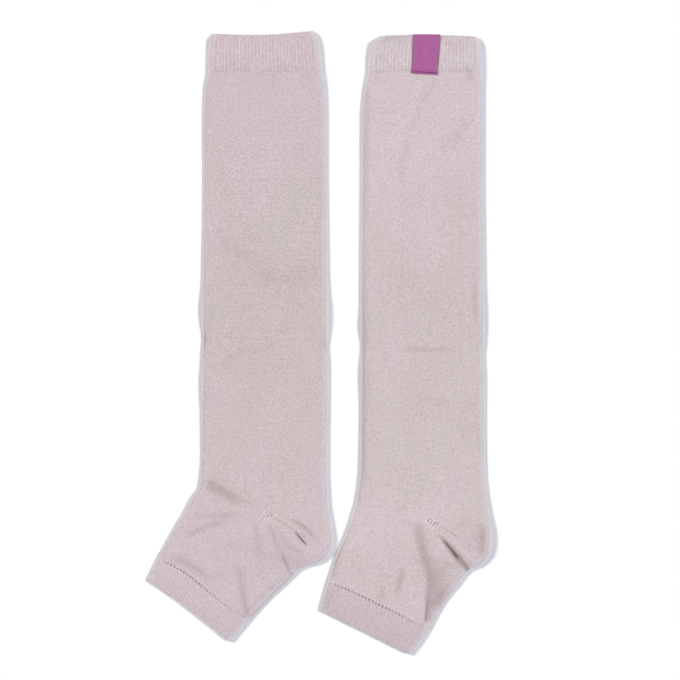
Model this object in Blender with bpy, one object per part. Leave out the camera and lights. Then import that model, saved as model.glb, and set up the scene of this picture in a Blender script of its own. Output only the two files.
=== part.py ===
"""A pair of open-toe socks laid flat side by side.

Each sock is a flattened knitted tube in three pieces: a rib cuff, the leg with the heel and foot, and an
open toe band. A woven label is folded over the top edge of the right cuff.

All sizes are in millimetres: x to the right, y towards the cuffs, and z up from the surface that the socks
lie on.
"""

from collections import namedtuple
import math

import bpy
import numpy as np

MILLIMETRE = 0.001

# The cloth
LEG_WALL = 1.5  # one layer of plain knit
CUFF_WALL = 1.8  # knitted double and turned over
TOE_WALL = 1.6  # knitted double, finer than the cuff
SEAM_GAP = 0.4  # along the tube, between two pieces
PANEL_GAP = 0.4  # least space between the upper and the lower panel

# The ribs run lengthwise, and show on the upper panel
CUFF_RIBS = 29
CUFF_RIB_HEIGHT = 0.5
TOE_RIBS = 29
TOE_RIB_HEIGHT = 0.3
RIB_FADE = 2.0  # from the rounded edge to the full height

# Points of the meshes
LEG_COLUMNS = 22  # along the upper panel, across the sock
UNDER_COLUMNS = 8  # along the underside
EDGE_STEPS = 4  # round each side edge, half a turn
LIP_STEPS = 4  # round the cloth's own edge, half a turn
LEG_RING_STEP = 22.0  # between sections, on the straight leg
FOOT_RING_STEP = 4.8  # between sections, on the heel and foot
BAND_RING_STEP = 8.5  # between sections, on a cuff or a toe band

# The label
LABEL_THICKNESS = 0.5
LABEL_CLEARANCE = 0.3
LABEL_COLUMNS = 6
LABEL_ROWS = 6
LABEL_OVERHANG = 0.8  # past the cuff's lower end, at its left corner
LABEL_SKEW = 1.8  # how much further its right corner reaches
LABEL_TOP = (72.1, 92.2)  # x of its side edges at the cuff's top edge
LABEL_FOOT = (71.0, 89.8)  # x of its side edges at its sewn end
LABEL_TURN = 150.0  # degrees that it turns round the cuff's top edge

# Where the middle of the pair's own box lies in the figures below
MIDDLE = (0.7, -0.2)

# One row for each section across a flattened tube, from the cuff to the toes: where its front and its back
# edge lie, how far its middle bows towards the toes, how thick the tube is at its side edges, and how much
# thicker in the middle.
Section = namedtuple("Section", "place front_x front_y back_x back_y bow edge crown")

LEFT_SECTIONS = (
    Section("cuff top", -75.3, 231.3, -2.4, 233.4, 1.9, 4.2, 0.2),
    Section("cuff shoulder", -79.6, 226.0, 0.8, 226.0, 1.0, 4.2, 0.2),
    Section("cuff middle", -80.3, 215.5, 1.8, 215.5, 0.0, 4.3, 0.3),
    Section("rib end", -80.5, 203.0, 3.0, 203.0, 0.0, 4.3, 0.3),
    Section("leg top", -83.0, 189.5, 5.2, 189.5, 0.0, 3.8, 0.3),
    Section("upper calf", -84.0, 167.0, 6.2, 167.0, 0.0, 3.5, 0.3),
    Section("calf", -84.2, 107.0, 6.6, 107.0, 0.0, 3.4, 0.3),
    Section("shin", -85.0, 32.0, 7.0, 32.0, 0.0, 3.4, 0.3),
    Section("lower shin", -85.3, -43.0, 7.6, -43.0, 0.0, 3.4, 0.4),
    Section("ankle", -86.0, -92.0, 7.0, -95.5, 0.0, 3.6, 0.9),
    Section("bend", -87.4, -108.4, 7.6, -118.0, 0.0, 3.8, 1.3),
    Section("heel top", -93.4, -118.2, 9.4, -133.0, 0.0, 4.0, 1.7),
    Section("heel back", -99.4, -129.4, 10.7, -146.0, 0.0, 4.0, 1.9),
    Section("heel corner", -102.8, -134.6, 9.0, -156.8, 0.0, 4.0, 1.9),
    Section("heel bottom", -105.4, -139.0, 1.6, -164.2, 0.0, 4.0, 1.7),
    Section("arch", -108.0, -143.2, -12.8, -169.2, 0.0, 3.8, 1.4),
    Section("foot", -111.8, -149.6, -21.8, -177.8, 0.0, 3.8, 1.1),
    Section("lower foot", -115.1, -155.7, -35.2, -191.0, -0.5, 3.8, 0.8),
    Section("toe join", -118.9, -162.5, -50.2, -207.0, -1.5, 3.9, 0.4),
    Section("toe middle", -123.8, -171.0, -57.0, -215.0, 0.0, 3.8, 0.3),
    Section("toe edge", -128.7, -179.1, -65.6, -224.4, 0.4, 3.8, 0.2),
)

RIGHT_SECTIONS = (
    Section("cuff top", 51.0, 229.8, 119.6, 229.2, -0.8, 4.2, 0.2),
    Section("cuff shoulder", 41.4, 223.1, 122.5, 223.1, -0.4, 4.2, 0.2),
    Section("cuff middle", 39.8, 213.4, 122.9, 213.4, 0.0, 4.3, 0.3),
    Section("rib end", 39.4, 202.9, 123.0, 202.9, 0.0, 4.3, 0.3),
    Section("leg top", 36.8, 189.5, 123.2, 189.5, 0.0, 3.8, 0.3),
    Section("upper calf", 34.6, 167.0, 123.6, 167.0, 0.0, 3.5, 0.3),
    Section("calf", 34.3, 107.0, 123.9, 107.0, 0.0, 3.4, 0.3),
    Section("shin", 33.9, 32.0, 124.4, 32.0, 0.0, 3.4, 0.3),
    Section("lower shin", 34.0, -43.0, 124.8, -43.0, 0.0, 3.4, 0.4),
    Section("ankle", 33.2, -95.5, 125.3, -99.5, 0.0, 3.6, 0.8),
    Section("bend", 30.6, -118.0, 127.0, -118.0, 0.0, 3.8, 1.1),
    Section("heel top", 27.6, -129.4, 129.0, -133.0, 0.0, 4.0, 1.5),
    Section("heel back", 24.6, -138.4, 130.0, -146.0, 0.0, 4.0, 1.8),
    Section("heel corner", 22.0, -145.0, 128.2, -158.6, 0.0, 4.0, 1.8),
    Section("heel bottom", 19.5, -150.8, 122.0, -166.0, 0.0, 4.0, 1.7),
    Section("arch", 16.9, -156.4, 113.2, -170.6, 0.0, 3.8, 1.4),
    Section("foot", 14.2, -162.8, 105.0, -181.2, 0.0, 3.8, 1.1),
    Section("lower foot", 11.5, -171.0, 96.0, -193.2, -0.5, 3.8, 0.8),
    Section("toe join", 9.0, -179.2, 83.6, -214.6, -1.5, 3.9, 0.4),
    Section("toe middle", 5.0, -191.0, 77.2, -224.2, 0.0, 3.8, 0.3),
    Section("toe edge", 1.6, -201.4, 69.0, -234.0, 1.2, 3.8, 0.2),
)

# One row for each large fold or swelling of the upper panel: its ends, its half width and its height, which
# is below zero for a trough.
Fold = namedtuple("Fold", "place start_x start_y end_x end_y half_width height")

LEFT_FOLDS = (
    Fold("ankle crease", -96.0, -96.0, -55.0, -119.0, 6.0, -1.0),
    Fold("bulge over the heel", -27.0, -124.0, 4.0, -150.0, 9.0, 1.2),
    Fold("heel crease", -19.0, -138.0, -1.0, -156.5, 3.5, -1.3),
    Fold("bulge under the heel", -28.0, -146.0, -8.0, -164.0, 7.0, 0.7),
    Fold("fold across the arch", -35.0, -135.0, -16.0, -180.0, 4.0, -0.9),
    Fold("swelling of the instep", -88.0, -128.0, -60.0, -170.0, 18.0, 0.6),
)

RIGHT_FOLDS = (
    Fold("bulge over the heel", 96.0, -134.0, 122.0, -156.0, 8.0, 0.9),
    Fold("heel crease", 90.0, -143.0, 117.0, -174.0, 3.5, -1.4),
    Fold("long fold", 76.0, -132.0, 83.5, -218.0, 4.5, -1.0),
    Fold("ridge beside the long fold", 69.0, -130.0, 74.0, -215.0, 8.0, 0.8),
    Fold("swelling of the instep", 36.0, -140.0, 45.0, -180.0, 16.0, 0.5),
)

# Colours from the photograph, as linear values
ROSE_GREY = (0.60, 0.52, 0.53, 1.0)
ROSE_GREY_RIB = (0.61, 0.53, 0.55, 1.0)
LABEL_PURPLE = (0.42, 0.10, 0.30, 1.0)
KNIT_ROUGHNESS = 0.9
LABEL_ROUGHNESS = 0.55


def smooth(stations, values, at):
    """The value at a station on a curve through the rows that doesn't swing past them."""
    steps = np.diff(stations)
    slopes = np.diff(values) / steps
    tangents = np.empty(len(values))
    tangents[0] = slopes[0]
    tangents[-1] = slopes[-1]
    for i in range(1, len(slopes)):
        before, after = slopes[i - 1], slopes[i]
        if before * after <= 0:
            tangents[i] = 0.0
            continue
        weight_before = 2 * steps[i] + steps[i - 1]
        weight_after = steps[i] + 2 * steps[i - 1]
        tangents[i] = (weight_before + weight_after) / (weight_before / before + weight_after / after)
    i = int(np.clip(np.searchsorted(stations, at) - 1, 0, len(steps) - 1))
    share = (at - stations[i]) / steps[i]
    start = (1 + 2 * share) * (1 - share) ** 2 * values[i] + share * (1 - share) ** 2 * steps[i] * tangents[i]
    end = share**2 * (3 - 2 * share) * values[i + 1] + share**2 * (share - 1) * steps[i] * tangents[i + 1]
    return start + end


def fold_height(points, folds):
    """How far the folds raise the upper panel at each (x, y) point."""
    height = np.zeros(len(points))
    for fold in folds:
        start = np.array((fold.start_x, fold.start_y))
        run = np.array((fold.end_x, fold.end_y)) - start
        share = np.clip((points - start) @ run / (run @ run), 0, 1)
        away = np.linalg.norm(points - start - share[:, None] * run, axis=1)
        height += fold.height * np.sin(math.pi * share) * np.exp(-((away / fold.half_width) ** 2))
    return height


class Sock:
    """One flattened tube, with its sections and folds."""

    def __init__(self, sections, folds):
        self.folds = folds
        middles = np.array([((s.front_x + s.back_x) / 2, (s.front_y + s.back_y) / 2) for s in sections])
        lengths = np.linalg.norm(np.diff(middles, axis=0), axis=1)
        self.stations = np.concatenate(([0.0], np.cumsum(lengths)))
        self.columns = {field: np.array([getattr(s, field) for s in sections]) for field in Section._fields[1:]}
        self.places = {s.place: station for s, station in zip(sections, self.stations)}

    def at(self, field, station):
        return smooth(self.stations, self.columns[field], station)

    def frame(self, station):
        """The middle of a section, the unit vectors across and along it, and its half width."""
        front = np.array((self.at("front_x", station), self.at("front_y", station)))
        back = np.array((self.at("back_x", station), self.at("back_y", station)))
        half_width = np.linalg.norm(back - front) / 2
        across = (back - front) / (2 * half_width)
        along = np.array((across[1], -across[0]))
        return (front + back) / 2, across, along, half_width

    def on_surface(self, station, offsets):
        """The (x, y) of points at these offsets from the middle of a section."""
        middle, across, along, half_width = self.frame(station)
        bow = self.at("bow", station) * (1 - (offsets / half_width) ** 2)
        return middle + offsets[:, None] * across + bow[:, None] * along

    def upper(self, station, offsets, wall):
        """The height of the upper panel's outside at these offsets from the middle of a section."""
        half_width = self.frame(station)[3]
        edge = self.at("edge", station)
        share = np.clip(np.abs(offsets) / (half_width - edge / 2), 0, 1)
        height = edge + self.at("crown", station) * (1 - share**3)
        height += fold_height(self.on_surface(station, offsets), self.folds)
        return np.maximum(height, 2 * wall + PANEL_GAP)

    def ring(self, station, wall, depth, columns, rib_height=0.0):
        """One section's points at a depth in the wall: over the top, round the back, below, round the front."""
        half_width = self.frame(station)[3]
        radius = self.at("edge", station) / 2
        run = half_width - radius
        top = np.linspace(-run, run, columns + 1)
        under = np.linspace(run, -run, UNDER_COLUMNS + 1)
        turn = np.linspace(math.pi / 2, -math.pi / 2, EDGE_STEPS + 1)[1:-1]
        top_height = self.upper(station, top, wall)
        lift = top_height[[0, -1]] - 2 * radius
        ribs = np.where(np.arange(columns + 1) % 2, rib_height, 0.0)
        edge_out = (radius - depth) * np.cos(turn)
        edge_up = radius + (radius - depth) * np.sin(turn)
        back_up = edge_up + lift[1] * np.maximum(np.sin(turn), 0)
        front_up = edge_up + lift[0] * np.maximum(np.sin(turn), 0)
        offsets = np.concatenate((top, run + edge_out, under, -run - edge_out[::-1]))
        heights = np.concatenate(
            (top_height + ribs - depth, back_up, np.full(UNDER_COLUMNS + 1, depth), front_up[::-1])
        )
        return np.column_stack((self.on_surface(station, offsets), heights))


def stations_between(start, end, step):
    count = max(1, round((end - start) / step))
    return np.linspace(start, end, count + 1)


def lip(edge_station, inwards, wall):
    """(station, depth) pairs round the rounded edge of a wall, from the outside to the inside."""
    turns = np.linspace(math.pi / 2, -math.pi / 2, LIP_STEPS + 1)
    return [
        (edge_station + inwards * wall / 2 * (1 - math.cos(turn)), wall / 2 * (1 - math.sin(turn)))
        for turn in turns
    ]


def body_from_rings(name, rings, material):
    """A closed body through rings of equal length, the last joined to the first."""
    count, around = len(rings), len(rings[0])
    faces = []
    for i in range(count):
        this, following = i * around, (i + 1) % count * around
        for j in range(around):
            beside = (j + 1) % around
            faces.append((this + j, following + j, following + beside, this + beside))
    make_object(name, np.concatenate(rings), faces, material)


def make_object(name, points, faces, material):
    mesh = bpy.data.meshes.new(name)
    mesh.from_pydata(((points - (*MIDDLE, 0.0)) * MILLIMETRE).tolist(), [], faces)
    mesh.polygons.foreach_set("use_smooth", [True] * len(mesh.polygons))
    mesh.materials.append(material)
    mesh.validate()
    bpy.context.scene.collection.objects.link(bpy.data.objects.new(name, mesh))


def make_material(name, colour, roughness):
    material = bpy.data.materials.new(name)
    material.use_nodes = True
    shader = material.node_tree.nodes["Principled BSDF"]
    shader.inputs["Base Color"].default_value = colour
    shader.inputs["Roughness"].default_value = roughness
    shader.inputs["Metallic"].default_value = 0.0
    return material


def make_leg(name, sock):
    """The plain knit from the cuff to the toe band, with the heel turned in it."""
    start = sock.places["rib end"] + SEAM_GAP / 2
    end = sock.places["toe join"] - SEAM_GAP / 2
    ankle = sock.places["ankle"]
    stations = np.concatenate(
        (stations_between(start, ankle, LEG_RING_STEP)[:-1], stations_between(ankle, end, FOOT_RING_STEP))
    )
    outside = [sock.ring(station, LEG_WALL, 0.0, LEG_COLUMNS) for station in stations]
    inside = [sock.ring(station, LEG_WALL, LEG_WALL, LEG_COLUMNS) for station in stations[::-1]]
    body_from_rings(name, outside + inside, make_material(name, ROSE_GREY, KNIT_ROUGHNESS))


def make_band(name, sock, seam, edge, wall, ribs, rib_height):
    """A ribbed band from its square seam end to its rounded free edge: a cuff or a toe band."""
    inwards = math.copysign(1.0, seam - edge)
    columns = 2 * ribs
    rounded = lip(edge, inwards, wall)
    full = edge + inwards * (wall / 2 + RIB_FADE)
    plain = edge + inwards * wall / 2
    stations = stations_between(seam, full, BAND_RING_STEP * -inwards)
    outside = [sock.ring(station, wall, 0.0, columns, rib_height) for station in stations]
    around_edge = [sock.ring(station, wall, depth, columns) for station, depth in rounded]
    inside = [sock.ring(station, wall, wall, columns) for station in ((plain + seam) / 2, seam)]
    rings = outside + around_edge + inside
    if inwards > 0:
        rings = rings[::-1]
    body_from_rings(name, rings, make_material(name, ROSE_GREY_RIB, KNIT_ROUGHNESS))


def make_label(name, sock):
    """A ribbon on the cuff, from its sewn end up and over the cuff's top edge."""
    edge = sock.places["cuff top"]
    foot = sock.places["rib end"] + LABEL_OVERHANG
    lip_radius = CUFF_WALL / 2
    flat = [(station, 0.0) for station in np.linspace(foot, edge + lip_radius, LABEL_ROWS + 1)]
    turned = [(edge + lip_radius, turn) for turn in np.linspace(0, math.radians(LABEL_TURN), LABEL_ROWS)[1:]]
    below, above = [], []
    for station, turn in flat + turned:
        share = (station - edge) / (foot - edge)
        middle, across, along, _ = sock.frame(station)
        left = LABEL_TOP[0] + share * (LABEL_FOOT[0] - LABEL_TOP[0])
        right = LABEL_TOP[1] + share * (LABEL_FOOT[1] - LABEL_TOP[1])
        offsets = (np.linspace(left, right, LABEL_COLUMNS + 1) - middle[0]) / across[0]
        ground = sock.on_surface(station, offsets)
        ground += np.linspace(0, share * LABEL_SKEW, LABEL_COLUMNS + 1)[:, None] * along
        height = sock.upper(station, offsets, CUFF_WALL)
        lift = LABEL_CLEARANCE + CUFF_RIB_HEIGHT * (turn == 0)
        for rows, radius in ((below, lip_radius + lift), (above, lip_radius + lift + LABEL_THICKNESS)):
            place = ground - radius * math.sin(turn) * along
            rows.append(np.column_stack((place, height - lip_radius + radius * math.cos(turn))))
    sheet_from_rows(name, below, above, make_material(name, LABEL_PURPLE, LABEL_ROUGHNESS))


def sheet_from_rows(name, below, above, material):
    """A closed sheet between two grids of points with the same rows."""
    rings = [np.concatenate((lower, upper[::-1])) for lower, upper in zip(below, above)]
    across = len(below[0])
    around = 2 * across
    faces = []
    for i in range(len(rings) - 1):
        this, following = i * around, (i + 1) * around
        for j in range(around):
            beside = (j + 1) % around
            faces.append((this + j, following + j, following + beside, this + beside))
    last_row = (len(rings) - 1) * around
    for j in range(across - 1):
        over = around - 1 - j
        faces.append((j, j + 1, over - 1, over))
        faces.append((last_row + over, last_row + over - 1, last_row + j + 1, last_row + j))
    make_object(name, np.concatenate(rings), faces, material)


def make_sock(side, sections, folds):
    sock = Sock(sections, folds)
    cuff_seam = sock.places["rib end"] - SEAM_GAP / 2
    toe_seam = sock.places["toe join"] + SEAM_GAP / 2
    make_band(side + "_cuff", sock, cuff_seam, sock.places["cuff top"], CUFF_WALL, CUFF_RIBS, CUFF_RIB_HEIGHT)
    make_leg(side + "_leg", sock)
    make_band(side + "_toe_band", sock, toe_seam, sock.places["toe edge"], TOE_WALL, TOE_RIBS, TOE_RIB_HEIGHT)
    return sock


def main():
    for existing in list(bpy.data.objects):
        bpy.data.objects.remove(existing)
    make_sock("left", LEFT_SECTIONS, LEFT_FOLDS)
    right = make_sock("right", RIGHT_SECTIONS, RIGHT_FOLDS)
    make_label("label", right)


main()
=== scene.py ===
"""The looks of a pair of open-toe socks, laid flat and seen from straight above.

Sizes are in millimetres on the surface that the socks lie on: x to the right, y towards the cuffs, and z up.
They become metres, round the middle of the pair's box, when a mesh is made.
"""

from collections import namedtuple
import math

import bpy
import numpy as np
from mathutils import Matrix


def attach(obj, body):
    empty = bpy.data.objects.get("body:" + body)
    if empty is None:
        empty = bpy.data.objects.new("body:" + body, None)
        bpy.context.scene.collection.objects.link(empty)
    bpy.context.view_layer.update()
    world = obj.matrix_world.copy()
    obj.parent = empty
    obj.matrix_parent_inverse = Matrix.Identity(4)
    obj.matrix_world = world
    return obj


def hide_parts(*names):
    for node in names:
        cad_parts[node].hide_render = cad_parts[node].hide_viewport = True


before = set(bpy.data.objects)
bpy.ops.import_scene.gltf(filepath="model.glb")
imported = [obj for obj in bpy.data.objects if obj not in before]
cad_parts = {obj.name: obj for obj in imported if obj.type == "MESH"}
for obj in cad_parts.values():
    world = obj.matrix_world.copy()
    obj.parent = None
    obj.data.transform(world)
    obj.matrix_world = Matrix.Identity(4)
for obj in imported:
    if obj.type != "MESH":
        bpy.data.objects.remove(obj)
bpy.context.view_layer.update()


def rows(kind, *table):
    """The rows of a table, each as a named tuple of this kind."""
    return [kind(*row) for row in table]


MILLIMETRE = 0.001
MIDDLE = (0.7, -0.2)  # the middle of the pair's box, in the figures below

# The photograph: straight down, 680 x 680, with its centre at this place
PHOTO_MIDDLE = (17.25, 1.875)
PHOTO_WIDTH = 510.0  # of the surface that it shows
CAMERA_HEIGHT = 2000.0
SENSOR_WIDTH = 36.0

# The cloth
LEG_WALL = 0.8
CUFF_WALL = 1.3
TOE_WALL = 1.2
PANEL_GAP = 0.2
EDGE_BLEND = 3.5  # from a side edge to where the upper panel has its full relief
SWELL_BLEND = 2.6  # how much further that is for each millimetre that the edge swells or sinks
# How strongly a painted highlight pales the cloth at each side edge, and how far in it reaches
FRONT_EDGE_LIGHT = (0.15, 2.6)
BACK_EDGE_LIGHT = (0.6, 4.6)
SIDE_SHADE = 0.65  # under the turn of a side edge
SIDE_SHADE_FROM = 0.3  # how far above the turn's middle that starts, in its radii
FRONT_SIDE_SHADE = 0.08  # on the whole of the front edge's turn
SIDE_ROUND = 5.0  # of cloth round a side edge
TUBE_WIDTH = 91.0  # the leg's flat width, which the knit's columns are counted over

# The knit
RIBS = 29  # across the upper panel, on the cuff and on the toe band
WALES_TO_A_RIB = 2
COURSE = 1.3  # from one row of stitches to the next
CUFF_RIB_HEIGHT = 0.36
TOE_RIB_HEIGHT = 0.3
RIB_MARGIN = 0.025  # share of the panel's width at each side edge where the ribs fade
RIB_SHADE = 0.2  # in the valleys, for a full rib
ROUNDNESS = 0.6  # the power of a sine that gives the profile of a rib and of a stitch
STITCH_SHARE = 0.3  # how much each stitch swells a rib
RIB_RUN_OUT = 2.0  # how far the ribs fade into the plain knit
RIB_TRACE = 0.14  # what is left of them there, as a share
RIB_TRACE_LENGTH = 14.0
SEAM_DEPTH = 0.25
SEAM_HALF_WIDTH = 0.6
SEAM_SHADE = 0.3  # at the cuff's seam
SEAM_UNEVEN = 0.4  # the share of it that comes and goes along the seam
SEAM_WAVES = (7.0, 19.0)  # how fast, in radians to the panel's width
SEAM_START = 1.0

# Points of the meshes
LEG_COLUMNS = 6 * RIBS
CUFF_COLUMNS = 10 * RIBS
TOE_COLUMNS = 9 * RIBS
UNDER_COLUMNS = 24
EDGE_STEPS = 12
LIP_STEPS = 10
LEG_ROW = 1.9
FOOT_ROW = 0.5
BAND_ROW = 0.33
EYELET_ROW = 0.22
INNER_LEG_ROW = 26.0
INNER_ROW = 3.5
YARN_SIDES = 8
YARN_RINGS = 9
MAP = "knit"  # the name of each piece's UV map
HALVINGS = 40  # in the search for the section through a place
SHARP_FROM = 55.0  # degrees between two faces with an edge that is shaded sharp

# One row for each section across a flattened tube, from the cuff to the toes: where its front and its back
# edge lie, how far its middle bows towards the toes, how thick the tube is at its side edges, and how much
# thicker in the middle.
Section = namedtuple("Section", "place front_x front_y back_x back_y bow edge crown")

# How far the front half of the rows of stitches lies back from the toes, and the back half lies towards them,
# at the toe join
LEFT_SWAY = 2.0
RIGHT_SWAY = 0.3
SWAY_SCALE = 2.6  # 1 over the largest value of x - x**3, the form of the sway
SWAY_REACH = 14.0  # from the join to where the rows lie straight again

LEFT_SECTIONS = rows(
    Section,
    ("cuff top", -75.3, 231.3, -2.4, 233.4, 1.9, 4.2, 0.2),
    ("cuff shoulder", -79.6, 226, 0.8, 226, 1, 4.2, 0.2),
    ("cuff middle", -80.3, 215.5, 1.8, 215.5, 0, 4.3, 0.3),
    ("rib end", -80.5, 203, 3, 203, 0, 4.3, 0.3),
    ("leg top", -83, 189.5, 5.2, 189.5, 0, 3.8, 0.3),
    ("upper calf", -84, 167, 6.2, 167, 0, 3.5, 0.3),
    ("calf", -84.2, 107, 6.6, 107, 0, 3.4, 0.3),
    ("shin", -85, 32, 7, 32, 0, 3.4, 0.3),
    ("lower shin", -85.3, -43, 7.6, -43, 0, 3.4, 0.4),
    ("ankle", -86, -92, 7, -95.5, 0, 3.6, 0.9),
    ("bend", -87.4, -108.4, 7.6, -118, 0, 3.8, 1.3),
    ("heel top", -93.4, -118.2, 9.4, -133, 0, 4, 1.7),
    ("heel back", -99.4, -129.4, 10.7, -146, 0, 4, 1.9),
    ("heel corner", -102.8, -134.6, 9, -156.8, 0, 4, 1.9),
    ("heel bottom", -105.4, -139, 1.6, -164.2, 0, 4, 1.7),
    ("arch", -108, -143.2, -12.8, -169.2, 0, 3.8, 1.4),
    ("foot", -111.8, -149.6, -21.8, -177.8, 0, 3.8, 1.1),
    ("lower foot", -115.1, -155.7, -35.2, -191, -0.5, 3.8, 0.8),
    ("toe join", -118.9, -162.5, -50.2, -207, -0.9, 3.9, 0.4),
    ("toe middle", -122.6, -170.6, -57, -215, -1, 3.8, 0.3),
    ("toe edge", -126.2, -178.5, -65.6, -224.4, -1.5, 3.8, 0.2),
)

RIGHT_SECTIONS = rows(
    Section,
    ("cuff top", 51, 229.8, 119.6, 229.2, -0.8, 4.2, 0.2),
    ("cuff shoulder", 41.4, 223.1, 122.5, 223.1, -0.4, 4.2, 0.2),
    ("cuff middle", 39.8, 213.4, 122.9, 213.4, 0, 4.3, 0.3),
    ("rib end", 39.4, 202.9, 123, 202.9, 0, 4.3, 0.3),
    ("leg top", 36.8, 189.5, 123.2, 189.5, 0, 3.8, 0.3),
    ("upper calf", 34.6, 167, 123.6, 167, 0, 3.5, 0.3),
    ("calf", 34.3, 107, 123.9, 107, 0, 3.4, 0.3),
    ("shin", 33.9, 32, 124.4, 32, 0, 3.4, 0.3),
    ("lower shin", 34, -43, 124.8, -43, 0, 3.4, 0.4),
    ("ankle", 33.2, -95.5, 125.3, -99.5, 0, 3.6, 0.8),
    ("bend", 30.6, -118, 127, -118, 0, 3.8, 1.1),
    ("heel top", 27.6, -129.4, 129, -133, 0, 4, 1.5),
    ("heel back", 24.6, -138.4, 130, -146, 0, 4, 1.8),
    ("heel corner", 22, -145, 128.2, -158.6, 0, 4, 1.8),
    ("heel bottom", 19.5, -150.8, 122, -166, 0, 4, 1.7),
    ("arch", 16.9, -156.4, 113.2, -170.6, 0, 3.8, 1.4),
    ("foot", 14.2, -162.8, 105, -181.2, 0, 3.8, 1.1),
    ("lower foot", 11.5, -171, 96, -193.2, -0.5, 3.8, 0.8),
    ("toe join", 9, -179.2, 83.6, -214.6, -0.9, 3.9, 0.4),
    ("toe middle", 5.8, -190.8, 77.2, -224.2, -0.6, 3.8, 0.3),
    ("toe edge", 3.2, -201.3, 69, -234, -0.2, 3.8, 0.2),
)

# One row for each fold of the upper panel: its ends, how far its middle stands to the left of the straight
# line from start to end, its half width, its height (below zero for a trough), how dark the shade painted
# into it is (0 to 1), over what shares of its length it grows from its start and fades to its end, and what
# share wider it is on the left than on average. Rows with no height are bands of painted shade only.
FOLD_FIELDS = "place x0 y0 x1 y1 bend half_width height shade grow fade skew"
Crease = namedtuple("Crease", FOLD_FIELDS, defaults=(0, 0.5, 0.5, 0))

LEFT_CREASES = rows(
    Crease,
    # The large ones, which the frame has too
    ("ankle crease", -96, -96, -55, -119, 0, 6, -1),
    ("bulge over the heel", -27, -124, 4, -150, 0, 9, 1.2),
    ("heel crease", -19, -138, -1, -156.5, 0, 3.5, -1.3),
    ("bulge under the heel", -28, -146, -8, -164, 0, 7, 0.7),
    ("fold across the arch", -35, -135, -16, -180, 0, 4, -0.9),
    ("swelling of the instep", -88, -128, -60, -170, 0, 18, 0.6),
    # The ankle and the instep
    ("ankle, core", -84.5, -105, -50, -122.5, -0.4, 3.8, -0.5, 0.33, 0.15, 0.45),
    ("ankle, upper rim", -86, -102.5, -58, -117, 0.4, 1.3, -0.4, 0.1, 0.2, 0.4),
    ("ankle, tail", -62, -116, -40, -124.5, 0.4, 1.6, -0.3, 0.1, 0.3),
    ("ridge under the ankle", -93, -114, -60, -125, 0, 2.6, 0.4, 0, 0.2, 0.6),
    ("under the ankle", -95, -131, -50, -129.5, 0.4, 2.3, -0.5, 0.15, 0.2, 0.4),
    ("instep", -100, -147, -55, -133, 3.4, 2.2, -0.5, 0.2, 0.2, 0.45),
    ("above the eyelets", -110, -159, -76, -183, 2.2, 3, -0.6, 0.2, 0.25, 0.4),
    ("from the gore, front", -47.6, -131, -41.5, -174, 0.9, 2.3, -0.5, 0.14, 0.2, 0.3),
    ("ridge from the gore, front", -52, -135, -50, -170, 0, 2.2, 0.5, 0, 0.3, 0.4),
    ("ridge from the gore, back", -41, -133, -36.5, -166, 0, 1.8, 0.5, 0, 0.3, 0.4),
    ("towards the toes", -62, -158, -53.5, -198, 0.4, 3.2, -0.6, 0.17, 0.5, 0.3),
    ("at the back of the band", -56.5, -184, -51.6, -206.5, 0, 2.7, -0.4, 0.22, 0.5, 0.05),
    # The heel
    ("slit", -18.8, -138.2, -4.6, -154.6, -0.6, 0.52, -1.6, 1.1, 0.45, 0.38),
    ("lip over the slit", -15.4, -139.4, -2.4, -152.6, 0.3, 1.2, 0.5, 0, 0.3, 0.4),
    ("shade beside the lip", -25, -131.5, -1, -149.5, 3.9, 1.6, -0.5, 0.3, 0.38, 0.25),
    ("under the slit", -32, -134.5, -5, -160.5, -5, 2.3, -0.5, 0.16, 0.4, 0.3),
    ("swelling under the slit", -22, -143, -9, -156, 0, 2, 0.4, 0, 0.4, 0.4),
    ("arch fold, upper", -36.5, -132, -24.5, -162, -1.2, 2, -0.5, 0.17, 0.3, 0.3),
    ("arch fold", -27.4, -155, -18.8, -174.6, -0.4, 1.15, -0.9, 0.37, 0.35, 0.06),
    ("back edge, foot", -14.5, -171, -50.6, -207.4, 0, 1.3, 0, 0.42, 0.2, 0.1),
    # The leg
    ("knee, front edge", -70, 90, -69, 66, 0, 4, -0.15, 0.03, 0.4, 0.4),
    ("knee, front", -74, 73, -44, 60, 0, 4.2, -0.3, 0.1, 0.3),
    ("knee, middle", -50, 49, 2, 50, -2, 6.5, -0.3, 0.055, 0.25, 0.2),
    ("knee, core", -46, 49.5, -12, 46.5, 0, 4.5, -0.2, 0.05, 0.3, 0.4),
    ("knee, back edge", -1, 64, -1, 38, 0, 2.6, -0.15, 0.07, 0.4, 0.4),
    ("knee, across", -82, 44, 4, 44, 0, 30, -0.15, 0.03, 0.2, 0.2),
    ("shin", -76, -20.5, -18, -4, 6.5, 2.8, -0.3, 0.09, 0.2, 0.6),
    ("below the cuff", -29.6, 200.6, -39, 178, 0, 2, -0.15, 0.04, 0.3),
    ("under the rib, front", -74, 205.4, -46, 205, 0, 1.5, -0.1, 0.08, 0.2, 0.3),
    ("under the rib, back", -38, 205.6, -3, 203.8, 0.8, 1.5, -0.1, 0.1, 0.3, 0.2),
)

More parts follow.
